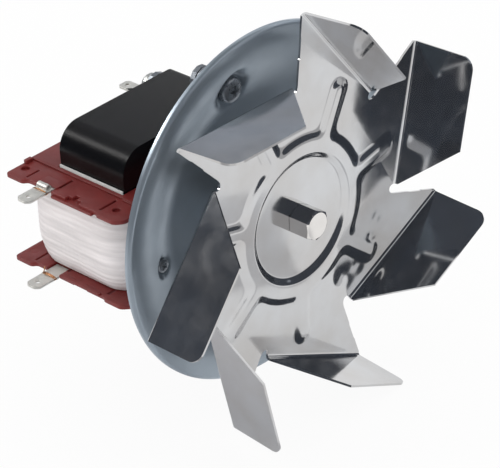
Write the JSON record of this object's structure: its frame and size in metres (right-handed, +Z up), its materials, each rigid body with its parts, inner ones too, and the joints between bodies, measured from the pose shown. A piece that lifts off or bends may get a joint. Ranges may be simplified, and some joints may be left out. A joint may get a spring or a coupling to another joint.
{
  "type": "oven fan motor",
  "caption": "Hot air fan with shaded-pole motor, taped coil on a red bobbin, dished mounting plate and folded bright sheet wheel.",
  "frame": {"origin": "on the fan axis, in the plane of the mounting plate's front rim face", "axes": "-Y along the fan axis towards the wheel and its cap nut, +Z up along the coil's axis, +X to the right as seen from the wheel side, with the coil at -X"},
  "size_m": [0.1478, 0.1031, 0.1474],
  "materials": {
    "bright_sheet": "bright rolled sheet, mirror-like with light scuffs",
    "chrome": "polished",
    "plate_sheet": "satin blue-grey coated sheet",
    "steel": "zinc plated",
    "zinc_steel": "zinc plated sheet",
    "black_core": "black satin varnish on laminations",
    "rotor_steel": "ground laminations",
    "cast_aluminium": "as cast",
    "copper": "enamelled copper",
    "red_plastic": "moulded dark red plastic",
    "tape": "woven insulating tape",
    "paper": "insulating paper",
    "tinned": "tin plated",
    "bronze": "sintered bronze",
    "nylon": "natural nylon"
  },
  "bodies": {
    "motor": {"mounting_plate": "plate_sheet", "plate_screw_top": "steel", "plate_screw_right": "steel", "plate_screw_bottom": "steel", "plate_screw_left": "steel", "standoff_top": "steel", "standoff_right": "steel", "standoff_bottom": "steel", "front_bracket": "zinc_steel", "rear_bracket": "zinc_steel", "front_bearing": "bronze", "rear_bearing": "bronze", "front_bearing_retainer": "steel", "rear_bearing_retainer": "steel", "stator_core": "black_core", "coil_leg_bar": "black_core", "leg_insulation": "paper", "shading_ring_upper": "copper", "shading_ring_lower": "copper", "bobbin": "red_plastic", "coil_winding": "copper", "coil_tape": "tape", "terminal_upper": "tinned", "terminal_lower": "tinned", "lead_wire_upper": "copper", "lead_wire_lower": "copper", "earth_tab": "tinned", "through_screw_upper": "zinc_steel", "through_screw_lower": "zinc_steel", "through_nut_upper": "zinc_steel", "through_nut_lower": "zinc_steel"},
    "rotor": {"impeller": "bright_sheet", "cap_nut": "chrome", "shaft": "steel", "rotor_core": "rotor_steel", "rotor_cage": "cast_aluminium", "front_thrust_sleeve": "nylon", "rear_thrust_sleeve": "nylon"}
  },
  "joints": [
    {"name": "rotor_spin", "type": "hinge", "parent": "motor", "child": "rotor", "pos_m": [0, 0, 0], "axis": [0, -1, 0], "continuous": true}
  ]
}
